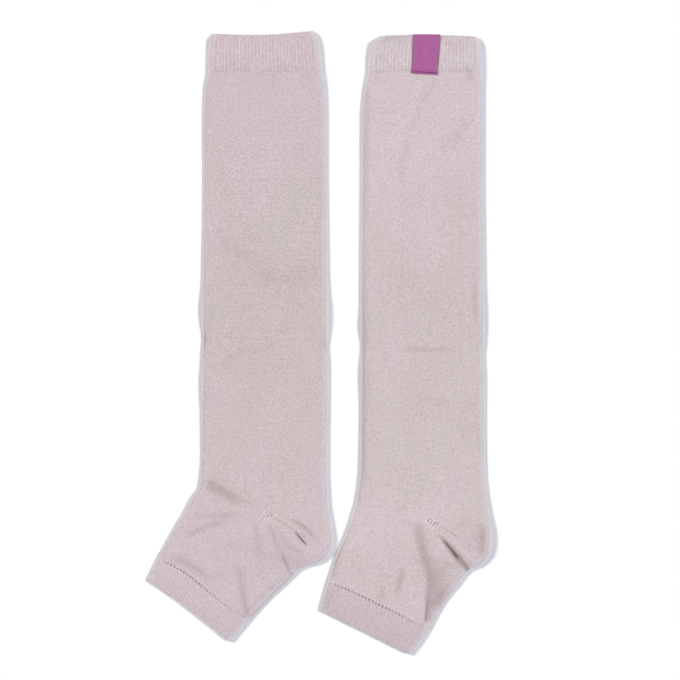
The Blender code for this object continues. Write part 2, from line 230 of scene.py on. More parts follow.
RIGHT_CREASES = rows(
    Crease,
    # The large ones, which the frame has too
    ("bulge over the heel", 96, -134, 122, -156, 0, 8, 0.9),
    ("heel crease", 90, -143, 117, -174, 0, 3.5, -1.4),
    ("long fold", 76, -132, 83.5, -218, 0, 4.5, -1),
    ("ridge beside the long fold", 69, -130, 74, -215, 0, 8, 0.8),
    ("swelling of the instep", 36, -140, 45, -180, 0, 16, 0.5),
    # The long fold
    ("long fold, upper", 72.4, -131, 85, -183, 0.4, 4, -0.6, 0.34, 0.28, 0.38, 0.35),
    ("long fold, lower", 83.8, -166, 81.8, -211, 0.8, 3.4, -0.7, 0.3, 0.38, 0.1, 0.4),
    ("long fold, crisp", 83.2, -186, 81.4, -211, 0.3, 1.1, -0.5, 0.28, 0.5, 0.1),
    ("long fold, wide", 89, -158, 94, -208, 0, 8, -0.3, 0.26, 0.35, 0.3),
    ("long fold, side", 98.5, -182.5, 84, -200.5, 0, 2.8, -0.3, 0.14, 0.4, 0.15),
    # The foot
    ("middle of the foot", 49.8, -181.5, 46.8, -196, 0, 2.3, -0.4, 0.2, 0.4, 0.4),
    ("beside the middle", 64.6, -163.5, 58.8, -193, 0.6, 2.4, -0.5, 0.24, 0.4, 0.4),
    ("ridge by the middle", 56.6, -164, 55, -180, 0, 2, 0.5, 0, 0.4, 0.4),
    ("corner of the toes", 3, -184, 12, -200, 0, 7, -0.2, 0.1, 0.4, 0.4),
    ("front of the foot", 15.5, -169, 13, -180, 0, 3, -0.2, 0.07, 0.4, 0.4),
    # The heel
    ("slit, upper", 89.2, -141.9, 107, -163.4, 0.3, 1.2, -2.2, 0.9, 0.5, 0.25),
    ("slit, lower", 100, -155, 113.8, -171.2, 0.2, 1.9, -2, 0.62, 0.45, 0.02),
    ("lip over the slit", 96, -143.5, 114.5, -166.4, 0.8, 2, 0.5, 0, 0.4, 0.3),
    ("lip under the slit", 88, -147, 105, -170, 0, 3, 0.4, 0, 0.4, 0.3),
    ("heel back", 124.6, -130.5, 123, -166, -0.5, 3.2, -0.5, 0.31, 0.35, 0.35),
    ("heel, small ridge", 116.8, -149.5, 117.2, -156.5, 0, 0.9, 0.5, 0, 0.4, 0.4),
    ("beside the small ridge", 114.2, -150, 114.4, -157, 0, 0.9, -0.4, 0.14, 0.4, 0.4),
    ("heel, in shade", 105, -127, 123, -154, 0, 9, -0.1, 0.1, 0.3, 0.3),
    ("over the heel", 97, -130.5, 106, -132, 0, 3.4, -0.2, 0.06, 0.4, 0.4),
    # The front edge, in shade
    ("front edge, upper", 37.5, 196, 35.6, 60, 0, 2.2, 0, 0.15, 0.1, 0.3),
    ("front edge, lower", 35.6, 90, 34.4, -112, 0, 2.4, 0, 0.19, 0.3, 0.1),
    ("front edge, foot", 33, -98, 10.8, -182, -2.5, 3, 0, 0.42, 0.15, 0.3),
    # The leg
    ("cuff, back", 94, 225.8, 113, 218.6, 0, 3, -0.2, 0.11, 0.3, 0.4),
    ("cuff and leg, back", 111.5, 207, 117.2, 193.5, 0, 2.2, -0.4, 0.18, 0.35, 0.4),
    ("from the label", 91, 197, 63, 103, -8.6, 2.6, -0.3, 0.085, 0.08),
    ("front column", 64.5, 144, 64.5, -5, 0, 2, -0.12, 0.035, 0.2, 0.2),
    ("calf, back", 114.5, 172, 88, 139, 4.6, 3.8, -0.4, 0.11, 0.25, 0.4),
    ("back column", 108, 144, 108, -28, 0, 2, -0.12, 0.035, 0.2, 0.2),
    ("back column, lower", 108, -36, 110, -88, 0, 2, -0.12, 0.035, 0.3, 0.3),
    ("knee, across", 36, 36, 112, 34, 0, 28, -0.15, 0.032, 0.2, 0.2),
    ("back of the knee", 117.6, 62, 118.8, 8, 0, 1.7, -0.3, 0.2, 0.5, 0.3),
    ("across the shin", 56, -5.4, 109, -5.8, 0.2, 1.5, -0.3, 0.2, 0.3, 0.3),
    ("shin, front", 51, -4, 50.5, -24, 0, 2, -0.15, 0.07, 0.4, 0.4),
    ("under the rib", 44, 205, 118, 205, 0, 1.5, -0.1, 0.05, 0.1, 0.1),
)

# One row for each line of small holes where the heel was turned: its ends and bend as a crease's, how far
# apart they are, and how dark they are at its start and at its end.
Dots = namedtuple("Dots", "place x0 y0 x1 y1 bend pitch start_shade end_shade")

LEFT_DOTS = (Dots("heel gore", -33.5, -130.2, -18.5, -139.6, 0.3, 2, 0.38, 0.42),)
RIGHT_DOTS = (
    Dots("heel gore, holes", 89.5, -136.2, 103, -144.4, 0.3, 2.35, 0.6, 0.5),
    Dots("heel gore, line", 103, -144.4, 115.8, -153, 0, 1.5, 0.25, 0.08),
)
DOT_DEPTH = 0.4
DOT_RADIUS = 0.7

# The open stitches at the start of each gore: the place of each short hole, and of each loop of yarn, with
# the large loops first
LEFT_HOLES = ((-37.9, -127.6), (-36.1, -129.2), (-34.2, -129), (-38.6, -130.6))
LEFT_LOOPS = (
    (-38.9, -128.5), (-37, -128.4), (-35.3, -130), (-39.4, -126.6), (-38.4, -131.8), (-33.2, -130.9),
    (-41.5, -129.6), (-36.6, -132.8), (-40, -133.4), (-31.4, -129.6), (-43.2, -132),
)
RIGHT_HOLES = ((85.8, -134.5), (83.4, -133.1), (86.3, -136.9), (88.2, -135), (90.6, -135.4))
RIGHT_LOOPS = (
    (85.8, -135.7), (84.3, -133.8), (82.1, -133.2), (87.1, -134.2), (88.6, -136.8), (84.9, -137.6),
    (82.9, -136.2), (90, -133.6), (91.2, -137.4), (81.2, -134.9), (86.6, -139),
)
HOLE_SLANT = 38.0  # degrees from the x axis
HOLE_HALF_LENGTH = 1.5
HOLE_HALF_WIDTH = 0.5
HOLE_DEPTH = 0.8
HOLE_SHADE = 0.26
LOOP_LENGTH = 2.8
LOOP_RADIUS = 0.42
LARGE_LOOPS = 4
SMALL_LOOP = 0.7  # as a share of a large one
LOOP_TURN = 14.0  # degrees either way from the slant of the holes

# The eyelets where the toe band joins the foot
EYELET_PITCH = 2.78
EYELET_INSET = 0.3  # from the join, on the band
EYELET_ACROSS = 0.56  # half its width
EYELET_ALONG = 0.7  # half its length
EYELET_DEPTH = 1.1
EYELET_SHADE = 0.28
EYELET_REACH = 2.0  # from the join to where the last of them ends
EYELET_MARGIN = 3.0  # from the side edges of the band
# Shares of the way to the back edge where the eyelets start to close, and are nearly shut
LEFT_EYELET_FADE = (0.25, 0.85)
RIGHT_EYELET_FADE = (0.4, 1.05)
EYELET_CLOSED = 0.75  # how far one is shut at the end of the fade
EYELET_UNEVEN = 0.22  # how much smaller or larger one is than the next
EYELET_DRAWS = 64  # sizes drawn for each sock
# The strands of yarn between the eyelets
KNOT_LENGTH = 1.5
KNOT_RADIUS = 0.3
KNOT_LIFT = 0.1
KNOT_SIZES = (0.75, 1.1)
KNOT_TURNS = (-0.1, 0.5)  # radians from the foot's length
KNOT_SEED = 7
YARN_DIP = 0.8  # how far the ends of a strand or loop go down, in its radii

# Where each side edge stands higher or lies flatter than its sections say: the place's y, its half length and
# the change of height
LEFT_SWELLS = {
    "front": ((120, 75, -0.8), (24, 13, 1.9), (3, 8, -1.1), (-32, 13, 1.3), (-85, 20, -1), (-152, 26, -1)),
    "back": ((130, 60, -0.8), (24, 16, 2), (-2, 7, -0.9), (-60, 30, -0.4), (-146, 14, 1), (-198, 24, -1.3)),
}
RIGHT_SWELLS = {
    "front": ((120, 60, -0.2), (12, 9, 1.3), (-4, 8, -1.1), (-28, 12, 1), (-166, 26, -0.6)),
    "back": ((120, 50, -0.4), (20, 20, 1), (-10, 10, -0.9), (-70, 30, -0.6), (-146, 16, 2), (-202, 22, -1.3)),
}

# Soft unevenness of the cloth as it lies
WAVES = 18
WAVE_LENGTHS = (16.0, 75.0)
WAVE_HEIGHT = 0.06

# The label
LABEL_THICKNESS = 0.3
LABEL_CLEARANCE = 0.15  # over the tops of the ribs
LABEL_COLUMNS = 48
LABEL_ROWS = 64
LABEL_TURN_ROWS = 16
LABEL_OVERHANG = 1.7  # past the cuff's seam
LABEL_SKEW = 1.0  # how much lower its right foot is than its left one
LABEL_TOP = (72.1, 92.2)  # the x of its two edges at the cuff's edge, and at its foot
LABEL_FOOT = (71.0, 89.8)
LABEL_TURN = 150.0  # degrees round the cuff's edge
LABEL_WIDTH = 20.0
SELVEDGE = 0.03  # as a share of the width
SELVEDGE_HEIGHT = 0.08
SELVEDGE_SHADE = 0.45
# Darker lines across the label by its foot: how far up as a share of its length, half width and shade
FOOT_LINES = ((0.0, 0.03, 0.35), (0.1, 0.015, 0.3))
LABEL_SHADE_MOST = 0.6
# The soft waves in which it stands up at its foot, and less so everywhere
PUCKER_HEIGHT = 0.11
PUCKER_WAVES = 1.6  # over its width
PUCKER_START = 0.7
PUCKER_FROM = 0.6  # as a share of the way down
PUCKER_UNDER = 0.5  # the share of it that the underside has
RIPPLE_HEIGHT = 0.05
RIPPLES = (5.0, 9.0)  # radians over its width, and down it
LABEL_STITCHES = 11
STITCH_LENGTH = 1.5
STITCH_RADIUS = 0.36
STITCH_ROW = 1.5  # from the label's foot
STITCH_RISE = 0.3  # of a stitch's middle above the ribbon, in its radii
STITCH_TURN = 0.3  # radians either way from the row
STITCH_SEED = 5

# Lights: what each adds to a flat white surface, where it comes from, and how high it stands, in degrees
Lamp = namedtuple("Lamp", "name share colour azimuth elevation softness")
FILL = 0.046
FILL_COLOUR = (0.97, 0.99, 1.04, 1.0)
LAMPS = (
    Lamp("key", 0.515, (0.97, 0.99, 1.05), -6.0, 41.0, 14.0),
    Lamp("side", 0.48, (1.0, 0.985, 1.02), 158.0, 35.0, 14.0),
)
FLOOR = 6.0  # metres from its middle to each side
FLOOR_DROP = 0.00003  # metres below the socks

# Colours, as linear values
# the painted shade of folds, holes, seams, rib valleys and edges on the knit
CREASE_SHADE_COLOUR = (0.25, 0.142, 0.137, 1.0)
SLIT_SHADE_COLOUR = (0.31, 0.165, 0.145, 1.0)  # painted shade inside a slit, warmer for the light that the cloth throws on itself there
DEEP_FROM = 0.6  # the shade from which a crease is a slit
# the painted highlight at the side edges of the knit
EDGE_LIGHT_COLOUR = (0.70, 0.675, 0.71, 1.0)
# Yarn of the gore loops and of the strands between the eyelets, painted lighter than the knit as a highlight
# where it catches the light
LIT_YARN = (0.9, 0.82, 0.82)
LIT_EYELET_YARN = (0.78, 0.69, 0.7)
RIBBON = (0.466, 0.109, 0.336)
RIBBON_EDGE = (0.24, 0.04, 0.17, 1.0)
RIBBON_THREAD = (0.12, 0.015, 0.08)

# One row for each knit: its colour at the knee and at both ends of the sock, how deep its stitches are in
# metres, and the y where it has the first colour
Knit = namedtuple("Knit", "name colour end_colour depth knee_y", defaults=(0.0,))
LEFT_CUFF = (0.698, 0.588, 0.598, 1.0)
LEFT_TOE = (0.652, 0.547, 0.562, 1.0)
RIGHT_CUFF = (0.713, 0.62, 0.622, 1.0)
RIGHT_TOE = (0.62, 0.522, 0.528, 1.0)
LEFT_KNITS = (
    Knit("left_rib", LEFT_CUFF, LEFT_CUFF, 0.00012),
    Knit("left_plain", (0.626, 0.538, 0.506, 1.0), (0.662, 0.552, 0.562, 1.0), 0.00012, 20.0),
    Knit("left_toe", LEFT_TOE, LEFT_TOE, 0.0001),
)
RIGHT_KNITS = (
    Knit("right_rib", RIGHT_CUFF, RIGHT_CUFF, 0.00012),
    Knit("right_plain", (0.636, 0.549, 0.512, 1.0), (0.69, 0.582, 0.592, 1.0), 0.00012, -45.0),
    Knit("right_toe", RIGHT_TOE, RIGHT_TOE, 0.0001),
)
KNEE_TO_END = 205.0

# The finish of each material
KNIT_FINISH = {
    "Roughness": 0.9, "Specular IOR Level": 0.25,
    "Sheen Weight": 0.4, "Sheen Roughness": 0.45, "Sheen Tint": (0.93, 0.96, 1.0, 1.0),
}
RIBBON_FINISH = {"Roughness": 0.5, "Sheen Weight": 0.1}
THREAD_FINISH = {"Roughness": 0.6}
FLOOR_FINISH = {"Base Color": (0.98, 0.98, 0.98, 1.0), "Roughness": 0.9, "Specular IOR Level": 0.1}

# The unevenness of each material: how often it changes, and how much darker or lighter that makes it
MOTTLE_GRAIN = (1 / 38, 1 / 52, 1 / 20)  # to a millimetre along each axis
MOTTLE = 0.9  # as a share of the way from the knee's colour to the end's
FLECK_GRAIN = (1 / 1.5, 1 / 1.7, 1 / 2)
FLECK = 0.38
FLECK_ROUGHNESS = 0.7
FLECK_HEIGHT = 0.6  # beside that of a stitch
STREAK_GRAIN = (TUBE_WIDTH / 1.6, TUBE_WIDTH / 26, 1.0)  # to a width of the tube
STREAK = 0.04
STITCH_SHADE_TONES = (0.93, 1.02)  # painted shade between the stitches, and a little painted light on them
TWIST_GRAIN = (6.0, 1.5, 4.0)
TWIST = 0.3
TWIST_DEPTH = 0.00005  # metres
RIBBON_GRAIN = (9.0, 90.0, 1.0)  # to a width of the label
RIBBON_STREAK = 0.42
PATCH_GRAIN = (3.0, 4.0, 1.0)
PATCH = 0.18
RIBBON_WARP = 46  # waves of the weave to a width of the label
RIBBON_WEFT = 80
WEAVE_TONES = (0.93, 1.08)
WEAVE_DEPTH = 0.00004  # metres

# Everything that one sock is made from; the seed is that of its soft unevenness and its eyelets' sizes
SockPlan = namedtuple("SockPlan", "side seed sections sway creases dots holes loops swells eyelet_fade knits")

LEFT_SOCK = SockPlan(
    "left", 3, LEFT_SECTIONS, LEFT_SWAY, LEFT_CREASES, LEFT_DOTS, LEFT_HOLES, LEFT_LOOPS, LEFT_SWELLS,
    LEFT_EYELET_FADE, LEFT_KNITS,
)
RIGHT_SOCK = SockPlan(
    "right", 8, RIGHT_SECTIONS, RIGHT_SWAY, RIGHT_CREASES, RIGHT_DOTS, RIGHT_HOLES, RIGHT_LOOPS, RIGHT_SWELLS,
    RIGHT_EYELET_FADE, RIGHT_KNITS,
)


def ease(share):
    share = np.clip(share, 0.0, 1.0)
    return share * share * (3 - 2 * share)


def smooth(stations, values, at):
    """The value at a station on a curve through the rows that doesn't swing past them."""
    steps = np.diff(stations)
    slopes = np.diff(values) / steps
    tangents = np.concatenate((slopes[:1], np.zeros(len(slopes) - 1), slopes[-1:]))
    for i in range(1, len(slopes)):
        before, after = slopes[i - 1], slopes[i]
        if before * after > 0:
            near, far = 2 * steps[i] + steps[i - 1], steps[i] + 2 * steps[i - 1]
            tangents[i] = (near + far) / (near / before + far / after)
    i = int(np.clip(np.searchsorted(stations, at) - 1, 0, len(steps) - 1))
    share = (at - stations[i]) / steps[i]
    start = (1 + 2 * share) * (1 - share) ** 2 * values[i] + share * (1 - share) ** 2 * steps[i] * tangents[i]
    end = share**2 * (3 - 2 * share) * values[i + 1] + share**2 * (share - 1) * steps[i] * tangents[i + 1]
    return start + end


def along_line(points, line):
    """Each point's share of the way along a line's row, how far it lies from it, and which side it is on."""
    start = np.array((line.x0, line.y0))
    run = np.array((line.x1, line.y1)) - start
    length = np.linalg.norm(run)
    away = points - start
    whole = away @ run / length**2
    share = np.clip(whole, 0, 1)
    side = (run[0] * away[:, 1] - run[1] * away[:, 0]) / length - 4 * line.bend * share * (1 - share)
    return share, np.hypot(side, (whole - share) * length), np.sign(side)


def crease_relief(points, creases):
    """The height and the shade that the creases give the upper panel at each (x, y) point."""
    height, shade = np.zeros((2, len(points)))
    for crease in creases:
        share, away, side = along_line(points, crease)
        strength = ease(share / crease.grow) * ease((1 - share) / crease.fade)
        half_width = crease.half_width * (1 + crease.skew * side)
        profile = strength * np.exp(-((away / half_width) ** 2))
        height += crease.height * profile
        shade += crease.shade * profile
    return height, shade


def dot_relief(points, lines):
    """The height and the shade of the small holes along the gore lines."""
    height, shade = np.zeros((2, len(points)))
    for line in lines:
        share, away, _ = along_line(points, line)
        length = math.hypot(line.x1 - line.x0, line.y1 - line.y0)
        count = share * length / line.pitch
        beside = np.hypot(away, (count - np.round(count)) * line.pitch)
        profile = np.exp(-((beside / DOT_RADIUS) ** 2))
        height -= DOT_DEPTH * profile
        shade += (line.start_shade + (line.end_shade - line.start_shade) * share) * profile
    return height, shade


def hole_relief(points, holes):
    """The height and the shade of the slanted open stitches at the start of a gore."""
    height, shade = np.zeros((2, len(points)))
    slant = math.radians(HOLE_SLANT)
    for place in holes:
        away = points - place
        length = (away[:, 0] * math.cos(slant) + away[:, 1] * math.sin(slant)) / HOLE_HALF_LENGTH
        width = (away[:, 1] * math.cos(slant) - away[:, 0] * math.sin(slant)) / HOLE_HALF_WIDTH
        profile = np.exp(-(length**4) - width**2)
        height -= HOLE_DEPTH * profile
        shade += HOLE_SHADE * profile
    return height, shade


class Waves:
    """A soft uneven surface: waves of many lengths and directions, the same each time for a seed."""

    def __init__(self, seed):
        chance = np.random.RandomState(seed)
        lengths = np.exp(chance.uniform(*np.log(WAVE_LENGTHS), WAVES))
        turns = chance.uniform(0, 2 * math.pi, WAVES)
        self.ways = 2 * math.pi / lengths * np.array((np.cos(turns), np.sin(turns)))
        self.starts = chance.uniform(0, 2 * math.pi, WAVES)
        self.heights = WAVE_HEIGHT * np.sqrt(lengths / WAVE_LENGTHS[1])

    def at(self, points):
        return np.sin(points @ self.ways + self.starts) @ self.heights


class Sock:
    """One flattened tube, with its sections, folds and small holes."""

    def __init__(self, plan):
        self.plan = plan
        self.waves = Waves(plan.seed)
        self.uneven = 1 + EYELET_UNEVEN * np.random.RandomState(plan.seed).uniform(-1, 1, EYELET_DRAWS)
        middles = np.array([((s.front_x + s.back_x) / 2, (s.front_y + s.back_y) / 2) for s in plan.sections])
        lengths = np.linalg.norm(np.diff(middles, axis=0), axis=1)
        self.stations = np.concatenate(([0.0], np.cumsum(lengths)))
        self.columns = dict(zip(Section._fields, zip(*plan.sections)))
        self.places = dict(zip(self.columns["place"], self.stations))

    def at(self, field, station):
        return smooth(self.stations, self.columns[field], station)

    def frame(self, station):
        """The middle of a section, the unit vectors across and along it, and its half width."""
        front = np.array((self.at("front_x", station), self.at("front_y", station)))
        back = np.array((self.at("back_x", station), self.at("back_y", station)))
        half_width = np.linalg.norm(back - front) / 2
        across = (back - front) / (2 * half_width)
        return (front + back) / 2, across, np.array((across[1], -across[0])), half_width

    def on_surface(self, station, offsets):
        """The (x, y) of points at these offsets from the middle of a section."""
        middle, across, along, half_width = self.frame(station)
        share = offsets / half_width
        away = abs(station - self.places["toe join"]) / SWAY_REACH
        sway = SWAY_SCALE * self.plan.sway * (1 - ease(away)) * share
        bow = (self.at("bow", station) + sway) * (1 - share**2)
        return middle + offsets[:, None] * across + bow[:, None] * along

    def edge_radius(self, station, edge):
        """Half the height of the front or the back edge, with its swellings."""
        place_y = self.at(edge + "_y", station)
        height = self.at("edge", station)
        for swell_y, half_length, change in self.plan.swells[edge]:
            height += change * math.exp(-(((place_y - swell_y) / half_length) ** 2))
        return height / 2

    def crown(self, station, offsets):
        """The height of the upper panel's outside before its folds."""
        half_width = self.frame(station)[3]
        edge = self.at("edge", station)
        share = np.clip(np.abs(offsets) / (half_width - edge / 2), 0, 1)
        return edge + self.at("crown", station) * (1 - share**3)

    def seam_closeness(self, station):
        """Near 1 at the two seams across the tube and 0 away from them: at the cuff's, and at either."""
        away = [(station - self.places[place]) / SEAM_HALF_WIDTH for place in ("rib end", "toe join")]
        cuff, toe = (math.exp(-(distance**2)) for distance in away)
        return cuff, cuff + toe

    def rib_strength(self, station):
        """The height of the ribs at a station: full on the cuff, and less on the toe band."""
        below = station - self.places["rib end"]
        cuff = 1 - ease(below / RIB_RUN_OUT + 0.5)
        trace = RIB_TRACE * ease(1 - below / RIB_TRACE_LENGTH)
        toe = ease((station - self.places["toe join"]) / (self.places["toe edge"] - self.places["toe join"]))
        return CUFF_RIB_HEIGHT * max(cuff, trace) + TOE_RIB_HEIGHT * toe

    def ribs(self, station, share):
        """The ribs' height and the shade between them, across the upper panel."""
        strength = self.rib_strength(station) * ease(share / RIB_MARGIN) * ease((1 - share) / RIB_MARGIN)
        profile = np.abs(np.sin(math.pi * RIBS * share)) ** ROUNDNESS
        stitch = 1 + STITCH_SHARE * np.sin(2 * math.pi * station / COURSE + math.pi * np.floor(RIBS * share))
        wave = np.sin(SEAM_WAVES[0] * share + SEAM_START) * np.sin(SEAM_WAVES[1] * share)
        seam = SEAM_SHADE * (1 - SEAM_UNEVEN + SEAM_UNEVEN * wave) * self.seam_closeness(station)[0]
        shade = RIB_SHADE * strength / CUFF_RIB_HEIGHT + seam
        return strength * profile * stitch, shade * (1 - profile)

    def eyelets(self, station, top):
        """The depth and the shade of the eyelets of the toe band, across a section."""
        half_width = self.frame(station)[3]
        along = (station - self.places["toe join"] - EYELET_INSET) / EYELET_ALONG
        across = (np.remainder(top + EYELET_PITCH / 2, EYELET_PITCH) - EYELET_PITCH / 2) / EYELET_ACROSS
        inside = ease((half_width - EYELET_MARGIN - np.abs(top)) / EYELET_PITCH)
        start, end = self.plan.eyelet_fade
        share = (top + half_width) / (2 * half_width)
        openness = inside * (1 - EYELET_CLOSED * ease((share - start) / (end - start)))
        openness *= self.uneven[np.round(top / EYELET_PITCH).astype(int) + EYELET_DRAWS // 2]
        profile = openness * np.exp(-(across**2) ** 2 - (along**2) ** 2)
        return -EYELET_DEPTH * profile, EYELET_SHADE * profile

    def relief(self, station, ground, top, wall):
        """The upper panel's height and shade across a section, between its side edges."""
        heights = [2 * self.edge_radius(station, edge) for edge in ("front", "back")]
        share = np.linspace(0, 1, len(top))
        rim = heights[0] + (heights[1] - heights[0]) * ease(share)
        folds, shade = crease_relief(ground, self.plan.creases)
        reach = EDGE_BLEND + SWELL_BLEND * np.abs(rim - self.at("edge", station))
        blend = ease(np.minimum(top - top[0], top[-1] - top) / reach)
        full = self.crown(station, top) + folds + self.waves.at(ground)
        height = rim + (full - rim) * blend - SEAM_DEPTH * self.seam_closeness(station)[1] * blend
        parts = [self.ribs(station, share)]
        parts += [dot_relief(ground, self.plan.dots), hole_relief(ground, self.plan.holes)]
        if abs(station - self.places["toe join"]) < EYELET_REACH:
            parts.append(self.eyelets(station, top))
        for raised, dark in parts:
            height += raised
            shade += dark
        return np.maximum(height, 2 * wall), shade

    def painted_edge_light(self, station, top):
        """How far the painted highlight pales the upper panel, from its side edges inwards."""
        half_width = self.frame(station)[3]
        edge_light = np.zeros(len(top))
        for (strength, reach), away in ((FRONT_EDGE_LIGHT, half_width + top), (BACK_EDGE_LIGHT, half_width - top)):
            edge_light += strength * ease(1 - away / reach)
        return edge_light

    def station_of(self, point):
        """The station of the section that runs through a place on the foot."""
        low, high = self.places["ankle"], self.places["toe edge"]
        for _ in range(HALVINGS):
            middle = (low + high) / 2
            centre, _, along, _ = self.frame(middle)
            if (np.asarray(point) - centre) @ along > 0:
                low = middle
            else:
                high = middle
        return low

    def top_at(self, station, offset, wall):
        """A point of the upper panel's outside, without its small holes and ribs."""
        ground = self.on_surface(station, np.array((offset,)))
        height = self.crown(station, np.array((offset,)))
        height += crease_relief(ground, self.plan.creases)[0] + self.waves.at(ground)
        return np.array((*ground[0], max(height[0], 2 * wall)))

    def side_shades(self, station, sides, up, outer):
        """How dark the cloth is round the back edge, along the underside and round the front edge."""
        turned = SIDE_SHADE * ease((SIDE_SHADE_FROM - up) / (SIDE_SHADE_FROM + 1))
        back_folds, front_folds = (
            crease_relief(self.on_surface(station, part), self.plan.creases)[1] * outer
            for part in (sides[: len(up)], sides[-len(up) :])
        )
        front_turned = np.maximum(turned, FRONT_SIDE_SHADE)[::-1]
        return np.concatenate((turned + back_folds, np.zeros(UNDER_COLUMNS + 1), front_turned + front_folds))

    def ring(self, station, wall, depth, columns):
        """One section's points at a depth in the wall, with the painted shade and the painted edge highlight
        of each.

        They run over the top, round the back, below and round the front.
        """
        half_width = self.frame(station)[3]
        front, back = (self.edge_radius(station, edge) for edge in ("front", "back"))
        top = np.linspace(front - half_width, half_width - back, columns + 1)
        ground = self.on_surface(station, top)
        outer = depth < wall
        if outer:
            height, shade = self.relief(station, ground, top, wall)
        else:
            height, shade = np.full(len(top), 2 * wall + PANEL_GAP), np.zeros(len(top))
        turn = np.linspace(math.pi / 2, -math.pi / 2, EDGE_STEPS + 1)[1:-1]
        out, up = np.cos(turn), np.sin(turn)
        under = np.linspace(top[-1], top[0], UNDER_COLUMNS + 1)
        sides = np.concatenate((top[-1] + (back - depth) * out, under, top[0] - (front - depth) * out[::-1]))
        below = np.full(UNDER_COLUMNS + 1, depth)
        heights = (height - depth, back + (back - depth) * up, below, front + (front - depth) * up[::-1])
        place = np.concatenate((ground, self.on_surface(station, sides)))
        shade = np.concatenate((shade, self.side_shades(station, sides, up, outer)))
        # The painted highlight at the side edges, on the outside only
        edge_light = self.painted_edge_light(station, np.concatenate((top, sides))) * outer
        return np.column_stack((place, np.concatenate(heights))), shade, edge_light


def around_shares(columns):
    """The knit's place round the tube for each point of a ring, in widths of the tube."""
    turn = SIDE_ROUND / TUBE_WIDTH
    round_edge = turn * np.linspace(0, 1, EDGE_STEPS + 1)[1:-1]
    over = np.linspace(0, 1, columns + 1)
    under = np.linspace(0, 1, UNDER_COLUMNS + 1)
    return np.concatenate((over, 1 + round_edge, 1 + turn + under, 2 + turn + round_edge, (2 + 2 * turn,)))


def stations_between(start, end, step):
    count = max(1, round(abs(end - start) / step))
    return list(np.linspace(start, end, count + 1))


def lip(edge_station, inwards, wall):
    """(station, depth) pairs round the rounded edge of a wall, from the outside to the inside."""
    turns = np.linspace(math.pi / 2, -math.pi / 2, LIP_STEPS + 1)
    return [
        (edge_station + inwards * wall / 2 * (1 - math.cos(turn)), wall / 2 * (1 - math.sin(turn)))
        for turn in turns
    ]


def placed(name, data):
    made = bpy.data.objects.new(name, data)
    bpy.context.scene.collection.objects.link(made)
    return made


def new_object(name, points, faces, material):
    mesh = bpy.data.meshes.new(name)
    mesh.from_pydata(((points - (*MIDDLE, 0.0)) * MILLIMETRE).tolist(), [], faces)
    mesh.polygons.foreach_set("use_smooth", [True] * len(mesh.polygons))
    mesh.set_sharp_from_angle(angle=math.radians(SHARP_FROM))
    mesh.materials.append(material)
    return placed(name, mesh)


def add_map(piece, corners):
    """The UV map of the knit: one (u, v) pair for each corner of each face."""
    layer = piece.data.uv_layers.new(name=MAP)
    layer.data.foreach_set("uv", np.asarray(corners, np.float32).ravel())


def add_tone(piece, name, values):
    """How far each point's colour goes towards the tone of this name, from 0 to 1."""
    attribute = piece.data.attributes.new(name, "FLOAT", "POINT")
    attribute.data.foreach_set("value", np.clip(values, 0, 1).astype(np.float32))


def faces_between(here, there, low, high, shares):
    """The faces from one ring of points to the next, and the place of each corner on the UV map."""
    around = len(shares) - 1
    faces, corners = [], []
    for j in range(around):
        beside = (j + 1) % around
        faces.append((here + j, there + j, there + beside, here + beside))
        left, right = shares[j], shares[j + 1]
        corners.append(((left, low), (left, high), (right, high), (right, low)))
    return faces, corners


def tube(name, sock, plan, wall, columns, material):
    """A closed shell through rings at (station, depth) pairs, the last joined to the first."""
    rings = [sock.ring(station, wall, depth, columns) for station, depth in plan]
    places = [station / TUBE_WIDTH for station, _ in plan]
    shares = around_shares(columns)
    around = len(shares) - 1
    faces, corners = [], []
    for i in range(len(plan)):
        j = (i + 1) % len(plan)
        more_faces, more_corners = faces_between(i * around, j * around, places[i], places[j], shares)
        faces += more_faces
        corners += more_corners
    points, shade, edge_light = (np.concatenate(parts) for parts in zip(*rings))
    piece = new_object(name, points, faces, material)
    add_map(piece, corners)
    add_tone(piece, "shade", shade)
    add_tone(piece, "edge_light", edge_light)
    return piece


